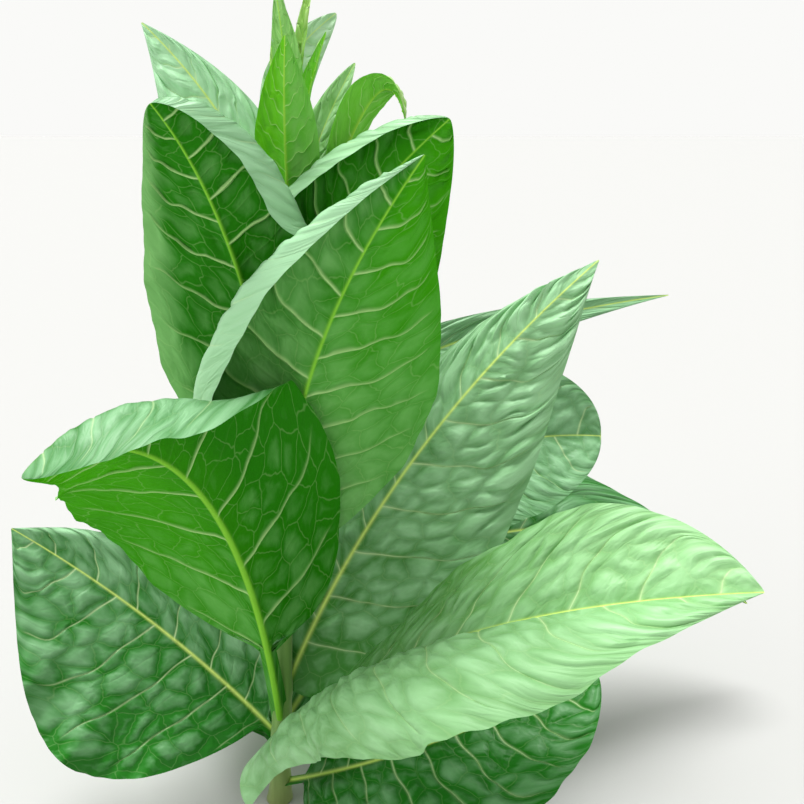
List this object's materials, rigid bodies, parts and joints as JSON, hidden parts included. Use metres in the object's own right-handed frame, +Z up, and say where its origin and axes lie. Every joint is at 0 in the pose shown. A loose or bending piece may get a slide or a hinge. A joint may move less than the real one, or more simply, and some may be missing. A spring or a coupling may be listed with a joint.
{
  "type": "tobacco plant",
  "caption": "Leafy crop plant before flowering: a leaning green stem, cut flat at the ground, with broad pointed leaves set round it and a tuft of young leaves at the tip.",
  "frame": {"origin": "middle of the stem's flat foot, on the ground", "axes": "+Z up, -Y towards the side first looked at, +X to its right"},
  "size_m": [1.0936, 0.7301, 1.0901],
  "materials": {
    "leaf": "matte",
    "stem": "matte"
  },
  "bodies": {
    "root": {"leaf_back": "leaf", "leaf_back_left": "leaf", "leaf_back_right_upper": "leaf", "leaf_back_upper": "leaf", "leaf_behind_centre": "leaf", "leaf_centre": "leaf", "leaf_front_left": "leaf", "leaf_front_right": "leaf", "leaf_left_back": "leaf", "leaf_left_middle": "leaf", "leaf_left_upper": "leaf", "leaf_long_right": "leaf", "leaf_low_back": "leaf", "leaf_low_left": "leaf", "leaf_low_right": "leaf", "leaf_right": "leaf", "leaf_right_behind": "leaf", "leaf_right_upper": "leaf", "leaf_tuft_1": "leaf", "leaf_tuft_2": "leaf", "leaf_tuft_3": "leaf", "leaf_tuft_4": "leaf", "leaf_tuft_5": "leaf", "leaf_upper_left": "leaf", "leaf_young_arched": "leaf", "leaf_young_back": "leaf", "leaf_young_front": "leaf", "leaf_young_right": "leaf", "stem": "stem"}
  },
  "joints": []
}
